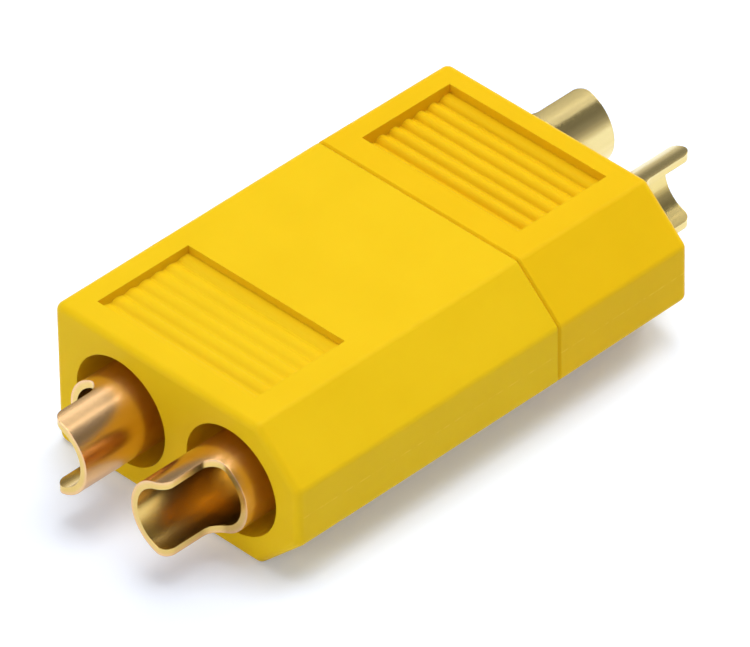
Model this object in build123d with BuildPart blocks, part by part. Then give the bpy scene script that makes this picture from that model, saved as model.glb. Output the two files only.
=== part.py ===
from build123d import *
from math import radians, tan
import os

# A two-pole power connector, both halves plugged together.
# Millimetres, +Z up, X across the two contacts, Y along the way the halves part.
# The origin lies on the underside, in the middle of the seam between the halves.
# The shroud half reaches to -Y with the pins, the plug half to +Y with the sockets.

# Split pins and the sockets that they enter
pin_radius = 1.75
pin_length = 7.6
pin_nose_chamfer = 0.45
pin_slit_width = 0.45
pin_slit_depth = 5.6
pin_bore_radius = 0.8
socket_running_clearance = 0.05
socket_wall = 0.45
socket_mouth_recess = 0.2
socket_mouth_chamfer = 0.25
socket_end_clearance = 1.4
socket_bore_radius = pin_radius + socket_running_clearance
socket_radius = socket_bore_radius + socket_wall

# Solder cups
cup_bore_radius = 1.75
cup_wall = 0.4
cup_bore_depth = 4.2
ring_reach = 1.1
pin_cup_reach = 4.25
socket_cup_reach = 4.7
trough_offset = 0.05
trough_root_radius = 0.8
prong_corner_radius = 0.6
drill_point_angle = 118
cup_radius = cup_bore_radius + cup_wall

# Shanks, pressed into the housings
pin_shoulder = 0.25
flange_lip = 0.25
flange_thickness = 0.6
barb_height = 0.1
barb_length = 0.6
barb_depth = 1.5
pin_shank_radius = pin_radius + pin_shoulder
flange_radius = socket_radius + flange_lip

# Pockets in the solder faces, one round each contact
contact_pitch = 7.2
pocket_clearance = 0.4
pocket_depth = 3.2
pocket_radius = flange_radius + pocket_clearance

# The plug's nose and the shroud's cavity
shroud_wall = 1.2
nose_length = 8.0
nose_side_wall = 0.75
nose_roof = 0.5
nose_side_clearance = 0.1
nose_end_clearance = 0.4
nose_corner_radius = 0.5
nose_lead_in = 0.3
cavity_lead_in = 0.2
nose_inset = shroud_wall + nose_side_clearance
cavity_depth = nose_length + nose_end_clearance

# Housing outline, seen along Y: square corners at -X, both corners cut off at +X
key_cut_width = 2.65
key_cut_height = 2.5
square_corner_radius = 0.5
key_corner_radius = 0.42
housing_width = contact_pitch + 2 * (socket_radius + nose_side_wall + nose_inset)
housing_height = 2 * (socket_radius + nose_roof + nose_inset)

# Housing lengths and edges
shroud_length = 16.95
plug_length = 8.6
plug_draft = 0.35
solder_edge_radius = 0.4
seam_chamfer = 0.12

# Ribbed recesses on both broad faces
panel_length = 10.2
panel_width = 5.8
rib_count = 7
rib_gap = 0.16
shroud_panel_setback = 1.4
shroud_panel_depth = 0.43
shroud_rib_height = 0.09
plug_panel_setback = 1.25
plug_panel_depth = 0.54
plug_rib_height = 0.2

axis_height = housing_height / 2
contact_sides = {"positive": -1, "negative": 1}
contact_centres = [(side * contact_pitch / 2, axis_height) for side in contact_sides.values()]
panel_left = -key_cut_width / 2 - panel_length / 2
seam = Plane.XZ

os.makedirs("parts", exist_ok=True)


def keyed_outline(plane, inset):
    """Outline of the housing, its nose or its cavity, with sharp corners: the inset shrinks it evenly."""
    half = housing_width / 2
    with BuildSketch(plane) as outline:
        with BuildLine():
            Polyline(
                (-half, 0),
                (half - key_cut_width, 0),
                (half, key_cut_height),
                (half, housing_height - key_cut_height),
                (half - key_cut_width, housing_height),
                (-half, housing_height),
                close=True,
            )
        make_face()
        if inset:
            offset(amount=-inset, kind=Kind.INTERSECTION)
    return outline.sketch


def long_edges(solid):
    """The six corner edges that run along Y, those of the square side at -X first."""
    return solid.edges().filter_by(lambda edge: abs(edge.tangent_at(0.5).Y) > 0.9).sort_by(Axis.X)


def panel_section(near_edge, level, inward, depth, rib_height):
    """Section across the ribs of one recess: rounded ribs, of which the outer two run flat to the walls."""
    crest = level + inward * depth
    valley = crest + inward * rib_height
    rib_pitch = (panel_width + rib_gap) / rib_count
    half_rib = (rib_pitch - rib_gap) / 2
    far_edge = near_edge + panel_width
    with BuildSketch(Plane.YZ.offset(panel_left)) as section:
        with BuildLine():
            Polyline(
                (near_edge + half_rib, crest),
                (near_edge, crest),
                (near_edge, level),
                (far_edge, level),
                (far_edge, crest),
                (far_edge - half_rib, crest),
            )
            for groove in range(rib_count - 1):
                start = near_edge + 2 * half_rib + groove * rib_pitch
                end = start + rib_gap
                TangentArc((start - half_rib, crest), (start, valley), tangent=(1, 0))
                Line((start, valley), (end, valley))
                TangentArc((end + half_rib, crest), (end, valley), tangent=(-1, 0))
        make_face()
    return section.sketch


def contact_section(side, outward, solder_face):
    """Plane through a contact's axis: X away from the middle of the housing, Y out along the cup."""
    return Plane(
        origin=(side * contact_pitch / 2, solder_face, axis_height),
        x_dir=(side, 0, 0),
        z_dir=(0, 0, side * outward),
    )


def barb(radius):
    """Points of the ring on a shank that bites into the plastic: a square shoulder, then a slope."""
    shoulder = -pocket_depth - barb_depth
    return (radius, shoulder), (radius + barb_height, shoulder), (radius, shoulder - barb_length)


def cup_cutaway(section, reach):
    """What is taken from a turned bar to leave a bored cup with an open trough at its tip."""
    bore_end = ring_reach - cup_bore_depth
    drill_point = cup_bore_radius / tan(radians(drill_point_angle / 2))
    spare = 1.0
    with BuildPart() as cutaway:
        with BuildSketch(section):
            with BuildLine():
                Polyline(
                    (0, reach + spare),
                    (cup_bore_radius, reach + spare),
                    (cup_bore_radius, bore_end),
                    (0, bore_end - drill_point),
                    close=True,
                )
            make_face()
        revolve(axis=Axis(section.origin, section.y_dir))
        with BuildSketch(section) as trough:
            with BuildLine():
                tip = (trough_offset, reach - prong_corner_radius)
                end = (trough_offset - prong_corner_radius, reach)
                RadiusArc(end, tip, prong_corner_radius)
                Polyline(
                    tip,
                    (trough_offset, ring_reach),
                    (cup_radius + spare, ring_reach),
                    (cup_radius + spare, reach + spare),
                    (end[0], reach + spare),
                    end,
                )
            make_face()
            fillet(trough.vertices().sort_by(Axis.Y)[:2].sort_by(Axis.X)[0], trough_root_radius)
        extrude(amount=cup_radius + spare, both=True)
    return cutaway.part


outer_outline = keyed_outline(seam, 0)
cavity_outline = fillet(keyed_outline(seam, shroud_wall).vertices(), nose_corner_radius)
nose_outline = fillet(keyed_outline(seam, nose_inset).vertices(), nose_corner_radius)

# Shroud half: one moulding, with a cavity for the nose at the seam and a pocket round each cup
with BuildPart() as shroud_housing:
    extrude(outer_outline, amount=shroud_length)
    fillet(long_edges(shroud_housing)[:2], square_corner_radius)
    fillet(long_edges(shroud_housing)[-4:], key_corner_radius)
    fillet(shroud_housing.faces().sort_by(Axis.Y)[0].edges(), solder_edge_radius)
    chamfer(shroud_housing.faces().sort_by(Axis.Y)[-1].edges(), seam_chamfer)
    extrude(cavity_outline, amount=cavity_depth, mode=Mode.SUBTRACT)
    chamfer(shroud_housing.faces().sort_by(Axis.Y)[-1].inner_wires().edges(), cavity_lead_in)
    with BuildSketch(seam.offset(shroud_length)):
        with Locations(*contact_centres):
            Circle(pocket_radius)
    extrude(amount=-pocket_depth, mode=Mode.SUBTRACT)
    with BuildSketch(seam.offset(shroud_length)):
        with Locations(*contact_centres):
            Circle(pin_shank_radius)
    extrude(amount=-shroud_length, mode=Mode.SUBTRACT)
    for level, inward in ((housing_height, -1), (0, 1)):
        near_edge = -shroud_length + shroud_panel_setback
        extrude(
            panel_section(near_edge, level, inward, shroud_panel_depth, shroud_rib_height),
            amount=panel_length,
            mode=Mode.SUBTRACT,
        )
shroud_housing.part.label = "shroud_housing"
export_step(shroud_housing.part, "parts/shroud_housing.step")

# Plug half: one moulding, a drafted body with the pockets and a nose that fills the shroud's cavity
with BuildPart() as plug_housing:
    extrude(outer_outline, amount=-plug_length)
    draft(plug_housing.faces().filter_by(Axis.Y, reverse=True), seam, -plug_draft)
    fillet(long_edges(plug_housing)[:2], square_corner_radius)
    fillet(long_edges(plug_housing)[-4:], key_corner_radius)
    fillet(plug_housing.faces().sort_by(Axis.Y)[-1].edges(), solder_edge_radius)
    chamfer(plug_housing.faces().sort_by(Axis.Y)[0].edges(), seam_chamfer)
    extrude(nose_outline, amount=nose_length)
    chamfer(plug_housing.faces().sort_by(Axis.Y)[0].edges(), nose_lead_in)
    with BuildSketch(seam.offset(-plug_length)):
        with Locations(*contact_centres):
            Circle(pocket_radius)
    extrude(amount=pocket_depth, mode=Mode.SUBTRACT)
    with BuildSketch(seam.offset(-plug_length)):
        with Locations(*contact_centres):
            Circle(socket_radius)
    extrude(amount=plug_length + nose_length, mode=Mode.SUBTRACT)
    for level, inward in ((housing_height, -1), (0, 1)):
        near_edge = plug_length - plug_panel_setback - panel_width
        extrude(
            panel_section(near_edge, level, inward, plug_panel_depth, plug_rib_height),
            amount=panel_length,
            mode=Mode.SUBTRACT,
        )
plug_housing.part.label = "plug_housing"
export_step(plug_housing.part, "parts/plug_housing.step")

# Pins: each turned from one bar, a solder cup, a flange, a barbed shank and a split pin
for name, side in contact_sides.items():
    section = contact_section(side, -1, -shroud_length)
    cutaway = cup_cutaway(section, pin_cup_reach)
    cavity_floor = -(shroud_length - cavity_depth)
    pin_tip = cavity_floor - pin_length
    with BuildPart() as pin:
        with BuildSketch(section):
            with BuildLine():
                Polyline(
                    (0, pin_cup_reach),
                    (cup_radius, pin_cup_reach),
                    (cup_radius, flange_thickness - pocket_depth),
                    (flange_radius, flange_thickness - pocket_depth),
                    (flange_radius, -pocket_depth),
                    (pin_shank_radius, -pocket_depth),
                    *barb(pin_shank_radius),
                    (pin_shank_radius, cavity_floor),
                    (pin_radius, cavity_floor),
                    (pin_radius, pin_tip),
                    (0, pin_tip),
                    close=True,
                )
            make_face()
        revolve(axis=Axis(section.origin, section.y_dir))
        chamfer(pin.edges().filter_by(GeomType.CIRCLE).sort_by(Axis.Y)[-1], pin_nose_chamfer)
        add(cutaway, mode=Mode.SUBTRACT)
        tip_plane = Plane(origin=section.from_local_coords((0, pin_tip, 0)), z_dir=section.y_dir)
        with BuildSketch(tip_plane):
            Circle(pin_bore_radius)
            Rectangle(2 * pin_radius, pin_slit_width)
            Rectangle(pin_slit_width, 2 * pin_radius)
        extrude(amount=pin_slit_depth, mode=Mode.SUBTRACT)
    pin.part.label = f"{name}_pin"
    export_step(pin.part, f"parts/{name}_pin.step")

# Sockets: each turned from one bar, a solder cup, a flange and a barbed barrel bored for its pin
for name, side in contact_sides.items():
    section = contact_section(side, 1, plug_length)
    cutaway = cup_cutaway(section, socket_cup_reach)
    mouth = -(plug_length + nose_length - socket_mouth_recess)
    bore_depth = pin_length - nose_end_clearance - socket_mouth_recess + socket_end_clearance
    with BuildPart() as socket:
        with BuildSketch(section):
            with BuildLine():
                Polyline(
                    (0, socket_cup_reach),
                    (cup_radius, socket_cup_reach),
                    (cup_radius, flange_thickness - pocket_depth),
                    (flange_radius, flange_thickness - pocket_depth),
                    (flange_radius, -pocket_depth),
                    (socket_radius, -pocket_depth),
                    *barb(socket_radius),
                    (socket_radius, mouth),
                    (socket_bore_radius + socket_mouth_chamfer, mouth),
                    (socket_bore_radius, mouth + socket_mouth_chamfer),
                    (socket_bore_radius, mouth + bore_depth),
                    (0, mouth + bore_depth),
                    close=True,
                )
            make_face()
        revolve(axis=Axis(section.origin, section.y_dir))
        add(cutaway, mode=Mode.SUBTRACT)
    socket.part.label = f"{name}_socket"
    export_step(socket.part, f"parts/{name}_socket.step")
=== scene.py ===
from math import radians

import bpy
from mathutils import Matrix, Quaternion, Vector


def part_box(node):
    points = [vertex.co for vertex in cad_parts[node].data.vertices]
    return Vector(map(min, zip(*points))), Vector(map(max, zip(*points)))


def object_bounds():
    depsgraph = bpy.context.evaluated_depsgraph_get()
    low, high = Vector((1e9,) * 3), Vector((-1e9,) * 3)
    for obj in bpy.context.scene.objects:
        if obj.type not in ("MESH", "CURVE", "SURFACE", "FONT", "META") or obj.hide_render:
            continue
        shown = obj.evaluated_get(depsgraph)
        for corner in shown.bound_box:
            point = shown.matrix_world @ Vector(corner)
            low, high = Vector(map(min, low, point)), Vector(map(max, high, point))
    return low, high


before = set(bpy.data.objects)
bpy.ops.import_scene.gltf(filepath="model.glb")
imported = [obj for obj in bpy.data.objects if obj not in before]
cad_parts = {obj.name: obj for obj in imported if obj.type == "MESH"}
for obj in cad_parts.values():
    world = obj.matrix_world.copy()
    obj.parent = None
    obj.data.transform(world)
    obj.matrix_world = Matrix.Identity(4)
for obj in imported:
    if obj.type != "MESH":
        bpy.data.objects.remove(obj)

cad_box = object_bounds()

# The camera looks down on the corner between the pins' solder face and the bevelled side, through
# a long lens from half a metre away. It is aimed close to the middle of the connector and tilted
# a little, as a hand-held shot is. Lengths here and below are in metres.
camera_turn = radians(45.554)
camera_rise = radians(38.377)
camera_tilt = radians(-0.983)
camera_distance = 0.55334
camera_aim = Vector((0, -0.00495, 0.004))
aim_offset = Vector((0.0006, 0.00024, 0))
lens_mm = 576
sensor_mm = 36
nearest_seen = 0.01
farthest_seen = 20

camera = bpy.data.objects.new("camera", bpy.data.cameras.new("camera"))
bpy.context.scene.collection.objects.link(camera)
bpy.context.scene.camera = camera
camera.data.lens = lens_mm
camera.data.sensor_width = sensor_mm
camera.data.clip_start = nearest_seen
camera.data.clip_end = farthest_seen
look_back = Vector((0, -1, 0))
look_back.rotate(Quaternion((1, 0, 0), -camera_rise))
look_back.rotate(Quaternion((0, 0, 1), camera_turn))
facing = look_back.to_track_quat("Z", "Y") @ Quaternion((0, 0, 1), camera_tilt)
camera.rotation_mode = "QUATERNION"
camera.rotation_quaternion = facing
camera.location = camera_aim + facing @ (aim_offset + Vector((0, 0, camera_distance)))


# The studio is a white table in a room whose walls are pale near the table and dark above. Two
# soft lamps hang overhead, one stands high and one low in front, and a lamp and a dim panel stand
# behind. The table looks a little whiter than it is lit, and keeps the connector's shadow.
table_size = 3.0
table_colour = (0.82, 0.87, 0.95, 1)
table_glow = 0.195
table_glow_colour = (0.9, 1.0, 1.25, 1)
room_light = ((0.0, 0.9), (0.35, 0.3), (1.0, 0.0))
lamps = {
    "overhead": {"place": Vector((0.13, 0.09, 0.87)), "size": 0.55, "watts": 4.1},
    "overhead_left": {"place": Vector((-0.25, 0.12, 0.84)), "size": 0.55, "watts": 2.4},
    "front_high": {"place": Vector((-0.15, -0.35, 0.85)), "size": 0.5, "watts": 0.8},
    "front_low": {"place": Vector((-0.15, -0.94, 0.24)), "size": 0.4, "watts": 2.0},
    "back": {"place": Vector((0.0, 0.70, 0.50)), "size": 0.4, "watts": 2.3},
    "back_panel": {"place": Vector((-0.28, 0.55, 0.72)), "size": 0.5, "watts": 0.34},
}


def feed(tree, socket, source):
    """Links another node's output to a socket, or sets the socket to a plain value."""
    if isinstance(source, bpy.types.NodeSocket):
        tree.links.new(source, socket)
    else:
        socket.default_value = source


def worked_out(tree, operation, *terms):
    """One step of arithmetic on plain numbers and other nodes' outputs."""
    step = tree.nodes.new("ShaderNodeMath")
    step.operation = operation
    for socket, term in zip(step.inputs, terms):
        feed(tree, socket, term)
    return step.outputs[0]


table_material = bpy.data.materials.new("white_table")
table_material.use_nodes = True
tree = table_material.node_tree
tree.nodes.clear()
path = tree.nodes.new("ShaderNodeLightPath").outputs
seen = worked_out(tree, "MAXIMUM", path["Is Camera Ray"], path["Is Glossy Ray"])
seen = worked_out(tree, "MAXIMUM", seen, path["Is Transmission Ray"])
glow = tree.nodes.new("ShaderNodeEmission")
glow.inputs["Color"].default_value = table_glow_colour
feed(tree, glow.inputs["Strength"], worked_out(tree, "MULTIPLY", seen, table_glow))
matt = tree.nodes.new("ShaderNodeBsdfDiffuse")
matt.inputs["Color"].default_value = table_colour
both = tree.nodes.new("ShaderNodeAddShader")
feed(tree, both.inputs[0], matt.outputs[0])
feed(tree, both.inputs[1], glow.outputs[0])
output = tree.nodes.new("ShaderNodeOutputMaterial")
feed(tree, output.inputs["Surface"], both.outputs[0])

bpy.ops.mesh.primitive_plane_add(size=table_size, location=(0, 0, cad_box[0][2]))
table = bpy.context.object
table.name = "table"
table.data.materials.append(table_material)

world = bpy.data.worlds.new("grey_room")
bpy.context.scene.world = world
world.use_nodes = True
tree = world.node_tree
tree.nodes.clear()
direction = tree.nodes.new("ShaderNodeTexCoord")
height = tree.nodes.new("ShaderNodeSeparateXYZ")
feed(tree, height.inputs["Vector"], direction.outputs["Generated"])
shades = tree.nodes.new("ShaderNodeValToRGB")
feed(tree, shades.inputs["Fac"], height.outputs["Z"])
while len(shades.color_ramp.elements) < len(room_light):
    shades.color_ramp.elements.new(1)
for stop, (level, grey) in zip(shades.color_ramp.elements, room_light):
    stop.position, stop.color = level, (grey, grey, grey, 1)
light = tree.nodes.new("ShaderNodeBackground")
feed(tree, light.inputs["Color"], shades.outputs["Color"])
output = tree.nodes.new("ShaderNodeOutputWorld")
feed(tree, output.inputs["Surface"], light.outputs[0])

for name, lamp_data in lamps.items():
    lamp = bpy.data.objects.new(name, bpy.data.lights.new(name, "AREA"))
    bpy.context.scene.collection.objects.link(lamp)
    lamp.data.size = lamp_data["size"]
    lamp.data.energy = lamp_data["watts"]
    lamp.location = lamp_data["place"]
    lamp.rotation_mode = "QUATERNION"
    lamp.rotation_quaternion = (lamp_data["place"] - camera_aim).to_track_quat("Z", "Y")

bpy.context.scene.view_settings.view_transform = "Standard"


# The two housings: yellow nylon, injection moulded in one piece each, with a fine satin skin
# from the tool. The long shroud half carries the pins, the short plug half the sockets.
shroud_yellows = ((0.76, 0.49, 0.007, 1), (0.82, 0.54, 0.011, 1))
plug_yellows = ((0.76, 0.465, 0.005, 1), (0.82, 0.51, 0.008, 1))
cloud_scale = 260
cloud_detail = 3
skin_scale = 9000
skin_detail = 2
skin_depth = 0.000004
nylon_roughness = 0.36
nylon_gloss = 0.04
nylon_edge = 0.00005
glow_through = 0.12
glow_through_depth = 0.0008
glow_through_spread = (1, 0.5, 0.05)
parting_yellow = (0.87, 0.58, 0.03, 1)
parting_half_width = 0.00007
parting_depth = 0.000008
parting_side = 0.0077
wear_scale = 2500
wear_detail = 4
wear_range = (0.42, 0.62)


def noise(tree, place, scale, detail):
    """Noise that stays fixed to the piece, from its own coordinates."""
    cloud = tree.nodes.new("ShaderNodeTexNoise")
    cloud.inputs["Scale"].default_value = scale
    cloud.inputs["Detail"].default_value = detail
    feed(tree, cloud.inputs["Vector"], place)
    return cloud.outputs["Fac"]


def ranged(tree, value, before=(0, 1), after=(0, 1)):
    """A value that ran over one range, made to run over another and held at its ends."""
    change = tree.nodes.new("ShaderNodeMapRange")
    change.inputs["From Min"].default_value, change.inputs["From Max"].default_value = before
    change.inputs["To Min"].default_value, change.inputs["To Max"].default_value = after
    feed(tree, change.inputs["Value"], value)
    return change.outputs["Result"]


def blended(tree, share, first, second):
    """A blend of two colours that takes more of the second as the share goes up."""
    blend = tree.nodes.new("ShaderNodeMix")
    blend.data_type = "RGBA"
    feed(tree, blend.inputs["A"], first)
    feed(tree, blend.inputs["B"], second)
    feed(tree, blend.inputs["Factor"], share)
    return blend.outputs["Result"]


def softened(tree, radius):
    """The surface with its edges rounded by the radius."""
    edge = tree.nodes.new("ShaderNodeBevel")
    edge.inputs["Radius"].default_value = radius
    return edge.outputs["Normal"]


def raised(tree, surface, height, depth):
    """The surface raised where the height is large, by the depth at most."""
    bump = tree.nodes.new("ShaderNodeBump")
    bump.inputs["Distance"].default_value = depth
    feed(tree, bump.inputs["Height"], height)
    feed(tree, bump.inputs["Normal"], surface)
    return bump.outputs["Normal"]


def moulded_nylon(name, yellows, parting_level):
    """Satin nylon, slightly clouded, with the tool's parting line at a level on the outer sides."""
    material = bpy.data.materials.new(name)
    material.use_nodes = True
    tree = material.node_tree
    shader = tree.nodes["Principled BSDF"].inputs
    place = tree.nodes.new("ShaderNodeTexCoord").outputs["Object"]
    clouded = blended(tree, noise(tree, place, cloud_scale, cloud_detail), *yellows)

    # The line is strongest at its middle, and worn away in places.
    axes = tree.nodes.new("ShaderNodeSeparateXYZ")
    feed(tree, axes.inputs["Vector"], place)
    above_level = worked_out(tree, "SUBTRACT", axes.outputs["Z"], parting_level)
    off_level = worked_out(tree, "ABSOLUTE", above_level)
    line = ranged(tree, off_level, (0, parting_half_width), (1, 0))
    off_middle = worked_out(tree, "ABSOLUTE", axes.outputs["X"])
    on_side = worked_out(tree, "GREATER_THAN", off_middle, parting_side)
    left_over = ranged(tree, noise(tree, place, wear_scale, wear_detail), wear_range)
    parting = worked_out(tree, "MULTIPLY", line, on_side)
    parting = worked_out(tree, "MULTIPLY", parting, left_over)
    feed(tree, shader["Base Color"], blended(tree, parting, clouded, parting_yellow))

    skin = noise(tree, place, skin_scale, skin_detail)
    surface = raised(tree, softened(tree, nylon_edge), skin, skin_depth)
    surface = raised(tree, surface, parting, parting_depth)
    feed(tree, shader["Normal"], surface)

    shader["Roughness"].default_value = nylon_roughness
    shader["Specular IOR Level"].default_value = nylon_gloss
    shader["Subsurface Weight"].default_value = glow_through
    shader["Subsurface Radius"].default_value = glow_through_spread
    shader["Subsurface Scale"].default_value = glow_through_depth
    return material


def dress(piece, material):
    """Puts the material in every slot of the piece."""
    for material_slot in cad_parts[piece].material_slots:
        material_slot.material = material


for piece, yellows in (("shroud_housing", shroud_yellows), ("plug_housing", plug_yellows)):
    low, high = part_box(piece)
    dress(piece, moulded_nylon(f"{piece}_nylon", yellows, (low[2] + high[2]) / 2))


# The pins, carried by the shroud half: turned from brass bar, bored and cut open to a solder cup
# at one end, slit crosswise at the other, gold plated over copper and pressed in. The bores and
# the cut rims are painted a darker, yellower gold, a painted shade and a painted reflection of the
# yellow nylon around them; the outsides are painted a pinker gold, a painted reflection of the pale
# room.
pin_outer_golds_painted_reflection = ((0.77, 0.475, 0.20, 1), (0.88, 0.575, 0.32, 1))
pin_bore_golds_painted_shade = ((0.72, 0.49, 0.13, 1), (0.81, 0.57, 0.20, 1))
pin_roughness = (0.2, 0.3)
streak_scale = (2600, 60, 2600)
streak_detail = 4
streak_depth = 0.000004
plating_edge = 0.00004
bore_edge = (0.00195, 0.0021)


def mapped(tree, place, shift, scale):
    """Coordinates stretched by the scale, then shifted."""
    mapping = tree.nodes.new("ShaderNodeMapping")
    mapping.inputs["Location"].default_value = shift
    mapping.inputs["Scale"].default_value = scale
    feed(tree, mapping.inputs["Vector"], place)
    return mapping.outputs["Vector"]


def turned_plating(name, axis_x, axis_z, outer_golds, bore_golds_painted_shade, roughness):
    """Plated bar with fine streaks along it, in a gold painted darker as shade inside the bore's
    edge, another outside.
    """
    material = bpy.data.materials.new(name)
    material.use_nodes = True
    tree = material.node_tree
    shader = tree.nodes["Principled BSDF"].inputs
    place = tree.nodes.new("ShaderNodeTexCoord").outputs["Object"]

    # The stretched coordinates give the streaks their size, so the noise has a scale of 1.
    stretched = mapped(tree, place, (0, 0, 0), streak_scale)
    streaks = noise(tree, stretched, 1, streak_detail)

    # With Y flattened, the length of the coordinates is the distance from the contact's axis.
    across = mapped(tree, place, (-axis_x, 0, -axis_z), (1, 0, 1))
    radius = tree.nodes.new("ShaderNodeVectorMath")
    radius.operation = "LENGTH"
    feed(tree, radius.inputs[0], across)
    # Inside the bore's edge the gold is painted darker, as painted shade.
    outside = ranged(tree, radius.outputs["Value"], bore_edge)
    bore_gold_painted_shade = blended(tree, streaks, *bore_golds_painted_shade)
    outer_gold = blended(tree, streaks, *outer_golds)
    feed(tree, shader["Base Color"], blended(tree, outside, bore_gold_painted_shade, outer_gold))

    feed(tree, shader["Roughness"], ranged(tree, streaks, after=roughness))
    surface = raised(tree, softened(tree, plating_edge), streaks, streak_depth)
    feed(tree, shader["Normal"], surface)
    shader["Metallic"].default_value = 1
    return material


for name in ("positive_pin", "negative_pin"):
    low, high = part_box(name)
    axis_x, _, axis_z = [(a + b) / 2 for a, b in zip(low, high)]
    pin_plating = turned_plating(
        f"{name}_plating", axis_x, axis_z, pin_outer_golds_painted_reflection, pin_bore_golds_painted_shade, pin_roughness
    )
    dress(name, pin_plating)


# The sockets, carried by the plug half: turned and plated as the pins are, bored to take them,
# and pressed in. Their plating is a paler gold, and their bores and cut rims are painted a little
# darker, as painted shade.
socket_outer_golds = ((0.75, 0.59, 0.23, 1), (0.87, 0.70, 0.33, 1))
socket_bore_golds_painted_shade = ((0.74, 0.57, 0.2, 1), (0.86, 0.68, 0.29, 1))
socket_roughness = (0.16, 0.26)

for name in ("positive_socket", "negative_socket"):
    low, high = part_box(name)
    axis_x, _, axis_z = [(a + b) / 2 for a, b in zip(low, high)]
    socket_plating = turned_plating(
        f"{name}_plating", axis_x, axis_z, socket_outer_golds, socket_bore_golds_painted_shade, socket_roughness
    )
    dress(name, socket_plating)
